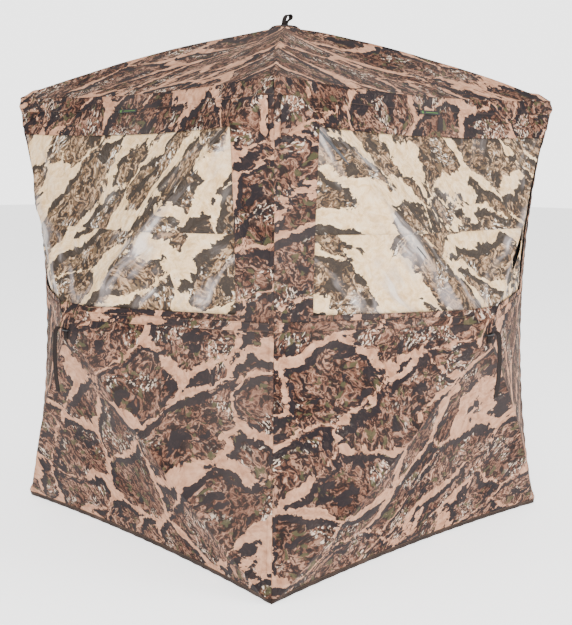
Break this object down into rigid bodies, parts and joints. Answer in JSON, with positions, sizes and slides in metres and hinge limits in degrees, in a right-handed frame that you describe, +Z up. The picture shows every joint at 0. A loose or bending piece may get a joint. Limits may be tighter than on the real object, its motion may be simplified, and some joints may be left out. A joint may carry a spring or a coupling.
{
  "type": "pop up ground blind",
  "caption": "Square fabric hunting blind whose walls and roof pop out on hubbed poles, with see-through window panels, a zipped door and pull straps.",
  "frame": {"origin": "on the ground, under the middle of the cabin's footprint", "axes": "+Z up, -Y out of the front wall, +X out of the right wall"},
  "size_m": [2.024, 2.024, 1.8874],
  "materials": {
    "shell_fabric": "matte woven polyester printed in tan, brown and charcoal bark camouflage, black coated inside",
    "window_fabric": "fine see-through mesh printed with the same pattern in cream and grey, a little glossy",
    "hem_binding": "dark brown binding tape, stitched",
    "pole_fibreglass": "dark fibreglass rod",
    "hub_plastic": "moulded black nylon",
    "strap_webbing": "woven webbing, black brown",
    "corner_patch": "heavy black woven patch",
    "zip_tape": "black zip tape with coil teeth",
    "slider_metal": "dark painted zinc"
  },
  "bodies": {
    "shell": {"wall_front": "shell_fabric", "window_front_upper": "window_fabric", "window_front_lower": "window_fabric", "hem_front": "hem_binding", "wall_right": "shell_fabric", "window_right_upper": "window_fabric", "window_right_lower": "window_fabric", "hem_right": "hem_binding", "wall_back": "shell_fabric", "window_back_upper": "window_fabric", "window_back_lower": "window_fabric", "hem_back": "hem_binding", "wall_left": "shell_fabric", "window_left_upper": "window_fabric", "window_left_lower": "window_fabric", "hem_left": "hem_binding", "roof": "shell_fabric", "boot_front_right_top": "corner_patch", "boot_front_right_bottom": "corner_patch", "boot_back_right_top": "corner_patch", "boot_back_right_bottom": "corner_patch", "boot_back_left_top": "corner_patch", "boot_back_left_bottom": "corner_patch", "boot_front_left_top": "corner_patch", "boot_front_left_bottom": "corner_patch"},
    "hub_front": {"hub_front": "hub_plastic"},
    "pole_front_ur": {"pole_front_ur": "pole_fibreglass"},
    "pole_front_ul": {"pole_front_ul": "pole_fibreglass"},
    "pole_front_ll": {"pole_front_ll": "pole_fibreglass"},
    "pole_front_lr": {"pole_front_lr": "pole_fibreglass"},
    "strap_front": {"pull_strap_front": "strap_webbing"},
    "hub_right": {"hub_right": "hub_plastic"},
    "pole_right_ur": {"pole_right_ur": "pole_fibreglass"},
    "pole_right_ul": {"pole_right_ul": "pole_fibreglass"},
    "pole_right_ll": {"pole_right_ll": "pole_fibreglass"},
    "pole_right_lr": {"pole_right_lr": "pole_fibreglass"},
    "strap_right": {"pull_strap_right": "strap_webbing"},
    "hub_back": {"hub_back": "hub_plastic"},
    "pole_back_ur": {"pole_back_ur": "pole_fibreglass"},
    "pole_back_ul": {"pole_back_ul": "pole_fibreglass"},
    "pole_back_ll": {"pole_back_ll": "pole_fibreglass"},
    "pole_back_lr": {"pole_back_lr": "pole_fibreglass"},
    "strap_back": {"pull_strap_back": "strap_webbing"},
    "hub_left": {"hub_left": "hub_plastic"},
    "pole_left_ur": {"pole_left_ur": "pole_fibreglass"},
    "pole_left_ul": {"pole_left_ul": "pole_fibreglass"},
    "pole_left_ll": {"pole_left_ll": "pole_fibreglass"},
    "pole_left_lr": {"pole_left_lr": "pole_fibreglass"},
    "strap_left": {"pull_strap_left": "strap_webbing"},
    "hub_roof": {"hub_roof": "hub_plastic", "pull_strap_roof": "strap_webbing"},
    "pole_roof_ur": {"pole_roof_ur": "pole_fibreglass"},
    "pole_roof_ul": {"pole_roof_ul": "pole_fibreglass"},
    "pole_roof_ll": {"pole_roof_ll": "pole_fibreglass"},
    "pole_roof_lr": {"pole_roof_lr": "pole_fibreglass"},
    "side_panel": {"door_zip_tape": "zip_tape"},
    "door": {"door_leaf": "shell_fabric"},
    "zip_slider": {"door_zip_slider": "slider_metal"}
  },
  "joints": [
    {"name": "hub_front_pop", "type": "slide", "parent": "shell", "child": "hub_front", "axis": [0, 1, 0], "range_m": [0, 0.4394], "deforming": ["wall_front", "window_front_upper", "window_front_lower"]},
    {"name": "pole_front_ur_fold", "type": "hinge", "parent": "hub_front", "child": "pole_front_ur", "pos_m": [0.03354, -0.93946, 0.82208], "axis": [0.7416, 0, -0.6708], "range_deg": [0, 27.16]},
    {"name": "pole_front_ul_fold", "type": "hinge", "parent": "hub_front", "child": "pole_front_ul", "pos_m": [-0.03354, -0.93946, 0.82208], "axis": [0.7416, 0, 0.6708], "range_deg": [0, 27.16]},
    {"name": "pole_front_ll_fold", "type": "hinge", "parent": "hub_front", "child": "pole_front_ll", "pos_m": [-0.03354, -0.93946, 0.74792], "axis": [-0.7416, 0, 0.6708], "range_deg": [0, 27.16]},
    {"name": "pole_front_lr_fold", "type": "hinge", "parent": "hub_front", "child": "pole_front_lr", "pos_m": [0.03354, -0.93946, 0.74792], "axis": [-0.7416, 0, -0.6708], "range_deg": [0, 27.16]},
    {"name": "strap_front_swing", "type": "hinge", "parent": "hub_front", "child": "strap_front", "pos_m": [0, -0.97454, 0.785], "axis": [-1, 0, 0], "range_deg": [-10, 120]},
    {"name": "hub_right_pop", "type": "slide", "parent": "shell", "child": "hub_right", "axis": [-1, 0, 0], "range_m": [0, 0.4394], "deforming": ["wall_right", "window_right_upper", "window_right_lower"]},
    {"name": "pole_right_ur_fold", "type": "hinge", "parent": "hub_right", "child": "pole_right_ur", "pos_m": [0.93946, 0.03354, 0.82208], "axis": [0, 0.7416, -0.6708], "range_deg": [0, 27.16]},
    {"name": "pole_right_ul_fold", "type": "hinge", "parent": "hub_right", "child": "pole_right_ul", "pos_m": [0.93946, -0.03354, 0.82208], "axis": [0, 0.7416, 0.6708], "range_deg": [0, 27.16]},
    {"name": "pole_right_ll_fold", "type": "hinge", "parent": "hub_right", "child": "pole_right_ll", "pos_m": [0.93946, -0.03354, 0.74792], "axis": [0, -0.7416, 0.6708], "range_deg": [0, 27.16]},
    {"name": "pole_right_lr_fold", "type": "hinge", "parent": "hub_right", "child": "pole_right_lr", "pos_m": [0.93946, 0.03354, 0.74792], "axis": [0, -0.7416, -0.6708], "range_deg": [0, 27.16]},
    {"name": "strap_right_swing", "type": "hinge", "parent": "hub_right", "child": "strap_right", "pos_m": [0.97454, 0, 0.785], "axis": [0, -1, 0], "range_deg": [-10, 120]},
    {"name": "hub_back_pop", "type": "slide", "parent": "shell", "child": "hub_back", "axis": [0, -1, 0], "range_m": [0, 0.4394], "deforming": ["wall_back", "window_back_upper", "window_back_lower"]},
    {"name": "pole_back_ur_fold", "type": "hinge", "parent": "hub_back", "child": "pole_back_ur", "pos_m": [-0.03354, 0.93946, 0.82208], "axis": [-0.7416, 0, -0.6708], "range_deg": [0, 27.16]},
    {"name": "pole_back_ul_fold", "type": "hinge", "parent": "hub_back", "child": "pole_back_ul", "pos_m": [0.03354, 0.93946, 0.82208], "axis": [-0.7416, 0, 0.6708], "range_deg": [0, 27.16]},
    {"name": "pole_back_ll_fold", "type": "hinge", "parent": "hub_back", "child": "pole_back_ll", "pos_m": [0.03354, 0.93946, 0.74792], "axis": [0.7416, 0, 0.6708], "range_deg": [0, 27.16]},
    {"name": "pole_back_lr_fold", "type": "hinge", "parent": "hub_back", "child": "pole_back_lr", "pos_m": [-0.03354, 0.93946, 0.74792], "axis": [0.7416, 0, -0.6708], "range_deg": [0, 27.16]},
    {"name": "strap_back_swing", "type": "hinge", "parent": "hub_back", "child": "strap_back", "pos_m": [0, 0.97454, 0.785], "axis": [1, 0, 0], "range_deg": [-10, 120]},
    {"name": "hub_left_pop", "type": "slide", "parent": "shell", "child": "hub_left", "axis": [1, 0, 0], "range_m": [0, 0.4394], "deforming": ["wall_left", "window_left_upper", "window_left_lower"]},
    {"name": "pole_left_ur_fold", "type": "hinge", "parent": "hub_left", "child": "pole_left_ur", "pos_m": [-0.93946, -0.03354, 0.82208], "axis": [0, -0.7416, -0.6708], "range_deg": [0, 27.16]},
    {"name": "pole_left_ul_fold", "type": "hinge", "parent": "hub_left", "child": "pole_left_ul", "pos_m": [-0.93946, 0.03354, 0.82208], "axis": [0, -0.7416, 0.6708], "range_deg": [0, 27.16]},
    {"name": "pole_left_ll_fold", "type": "hinge", "parent": "hub_left", "child": "pole_left_ll", "pos_m": [-0.93946, 0.03354, 0.74792], "axis": [0, 0.7416, 0.6708], "range_deg": [0, 27.16]},
    {"name": "pole_left_lr_fold", "type": "hinge", "parent": "hub_left", "child": "pole_left_lr", "pos_m": [-0.93946, -0.03354, 0.74792], "axis": [0, 0.7416, -0.6708], "range_deg": [0, 27.16]},
    {"name": "strap_left_swing", "type": "hinge", "parent": "hub_left", "child": "strap_left", "pos_m": [-0.97454, 0, 0.785], "axis": [0, 1, 0], "range_deg": [-10, 120]},
    {"name": "hub_roof_pop", "type": "slide", "parent": "shell", "child": "hub_roof", "axis": [0, 0, -1], "range_m": [0, 0.4588], "deforming": ["roof"]},
    {"name": "pole_roof_ur_fold", "type": "hinge", "parent": "hub_roof", "child": "pole_roof_ur", "pos_m": [0.03535, 0.03535, 1.811], "axis": [0.7071, -0.7071, 0], "range_deg": [0, 29.82]},
    {"name": "pole_roof_ul_fold", "type": "hinge", "parent": "hub_roof", "child": "pole_roof_ul", "pos_m": [-0.03535, 0.03535, 1.811], "axis": [0.7071, 0.7071, 0], "range_deg": [0, 29.82]},
    {"name": "pole_roof_ll_fold", "type": "hinge", "parent": "hub_roof", "child": "pole_roof_ll", "pos_m": [-0.03535, -0.03535, 1.811], "axis": [-0.7071, 0.7071, 0], "range_deg": [0, 29.82]},
    {"name": "pole_roof_lr_fold", "type": "hinge", "parent": "hub_roof", "child": "pole_roof_lr", "pos_m": [0.03535, -0.03535, 1.811], "axis": [-0.7071, -0.7071, 0], "range_deg": [0, 29.82]},
    {"name": "side_panel_fold", "type": "hinge", "parent": "shell", "child": "side_panel", "pos_m": [-0.7, 0.705, 0.785], "axis": [0, 0, -1], "range_deg": [0, 34]},
    {"name": "door_swing", "type": "hinge", "parent": "side_panel", "child": "door", "pos_m": [-0.608, 0.7455, 0.785], "axis": [0, 0, 1], "range_deg": [0, 110]},
    {"name": "zip_slide", "type": "slide", "parent": "door", "child": "zip_slider", "axis": [0, 0, -1], "range_m": [0, 0.47]}
  ],
  "couplings": [
    {"joint": "pole_front_ur_fold", "follows": "hub_front_pop", "rad_per_m": 1.0627},
    {"joint": "pole_front_ul_fold", "follows": "hub_front_pop", "rad_per_m": 1.0627},
    {"joint": "pole_front_ll_fold", "follows": "hub_front_pop", "rad_per_m": 1.0627},
    {"joint": "pole_front_lr_fold", "follows": "hub_front_pop", "rad_per_m": 1.0627},
    {"joint": "pole_right_ur_fold", "follows": "hub_right_pop", "rad_per_m": 1.0627},
    {"joint": "pole_right_ul_fold", "follows": "hub_right_pop", "rad_per_m": 1.0627},
    {"joint": "pole_right_ll_fold", "follows": "hub_right_pop", "rad_per_m": 1.0627},
    {"joint": "pole_right_lr_fold", "follows": "hub_right_pop", "rad_per_m": 1.0627},
    {"joint": "pole_back_ur_fold", "follows": "hub_back_pop", "rad_per_m": 1.0627},
    {"joint": "pole_back_ul_fold", "follows": "hub_back_pop", "rad_per_m": 1.0627},
    {"joint": "pole_back_ll_fold", "follows": "hub_back_pop", "rad_per_m": 1.0627},
    {"joint": "pole_back_lr_fold", "follows": "hub_back_pop", "rad_per_m": 1.0627},
    {"joint": "pole_left_ur_fold", "follows": "hub_left_pop", "rad_per_m": 1.0627},
    {"joint": "pole_left_ul_fold", "follows": "hub_left_pop", "rad_per_m": 1.0627},
    {"joint": "pole_left_ll_fold", "follows": "hub_left_pop", "rad_per_m": 1.0627},
    {"joint": "pole_left_lr_fold", "follows": "hub_left_pop", "rad_per_m": 1.0627},
    {"joint": "pole_roof_ur_fold", "follows": "hub_roof_pop", "rad_per_m": 1.1192},
    {"joint": "pole_roof_ul_fold", "follows": "hub_roof_pop", "rad_per_m": 1.1192},
    {"joint": "pole_roof_ll_fold", "follows": "hub_roof_pop", "rad_per_m": 1.1192},
    {"joint": "pole_roof_lr_fold", "follows": "hub_roof_pop", "rad_per_m": 1.1192},
    {"joint": "side_panel_fold", "follows": "hub_back_pop", "rad_per_m": 1.3306}
  ]
}
